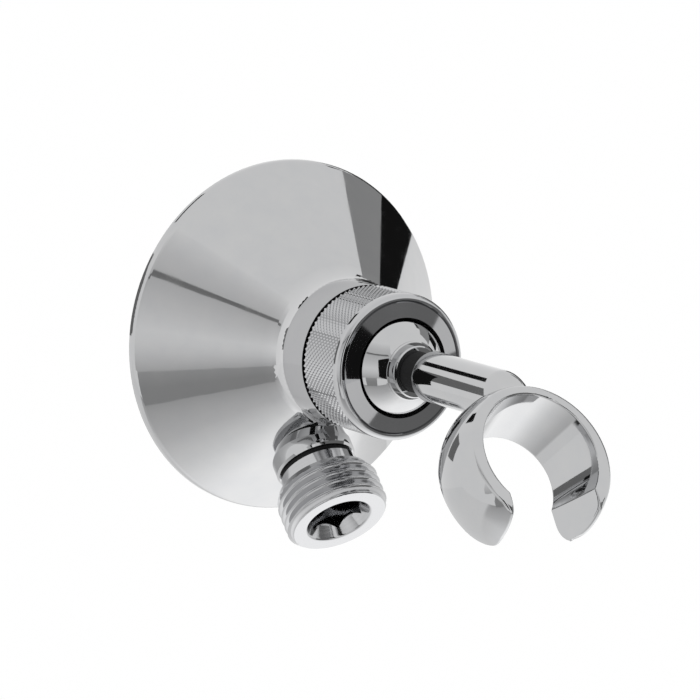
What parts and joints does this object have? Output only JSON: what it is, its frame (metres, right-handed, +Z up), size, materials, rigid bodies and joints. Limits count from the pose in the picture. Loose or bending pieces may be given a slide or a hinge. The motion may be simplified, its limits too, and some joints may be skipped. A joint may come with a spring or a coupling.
{
  "type": "hand shower holder",
  "caption": "Chromed wall water outlet with a conical rose, a threaded hose connection underneath and a ball-jointed fork that holds a hand shower.",
  "frame": {"origin": "centre of the inlet thread in the wall plane", "axes": "+Y into the wall along the inlet thread, -Y out of the wall towards the fork, +Z up, +X to the viewer's right from the front"},
  "size_m": [0.07, 0.1138, 0.0752],
  "materials": {
    "polished_chrome": "polished chrome plate on cast and turned brass",
    "plain_brass": "turned brass, not plated",
    "black_nylon": "moulded nylon bearing",
    "acetal": "moulded acetal",
    "black_rubber": "moulded rubber",
    "grey_foam": "closed-cell foam",
    "spring_steel": "drawn stainless wire"
  },
  "bodies": {
    "wall_outlet": {"bell_body": "polished_chrome", "wall_gasket": "grey_foam", "inlet_nipple": "plain_brass", "inlet_washer": "black_rubber", "valve_cage": "acetal", "cage_seal": "black_rubber", "valve_guide": "acetal", "poppet_spring": "spring_steel", "outlet_nipple": "polished_chrome", "outlet_washer": "black_rubber"},
    "nut": {"clamp_nut": "polished_chrome", "slip_ring": "black_nylon"},
    "seat": {"ball_seat": "black_nylon"},
    "ball": {"swivel_ball": "polished_chrome", "rod_spacer": "black_rubber"},
    "arm": {"fork_arm": "polished_chrome"},
    "valve": {"valve_poppet": "acetal", "poppet_seal": "black_rubber"}
  },
  "joints": [
    {"name": "nut_turn", "type": "hinge", "parent": "wall_outlet", "child": "nut", "pos_m": [0, -0.0389, 0], "axis": [0, -1, 0], "range_deg": [0, 90]},
    {"name": "arm_swing", "type": "hinge", "parent": "wall_outlet", "child": "seat", "pos_m": [0, -0.0389, 0], "axis": [0, -1, 0], "continuous": true},
    {"name": "arm_tilt", "type": "hinge", "parent": "seat", "child": "ball", "pos_m": [0, -0.0389, 0], "axis": [-1, 0, 0], "range_deg": [-30, 30]},
    {"name": "arm_spin", "type": "hinge", "parent": "ball", "child": "arm", "pos_m": [0, -0.0389, 0], "axis": [0, -1, 0], "continuous": true},
    {"name": "valve_lift", "type": "slide", "parent": "wall_outlet", "child": "valve", "axis": [0, -1, 0], "range_m": [0, 0.003], "stiffness_N_per_m": 60, "springref_m": -0.002, "deforming": ["poppet_spring"]}
  ]
}
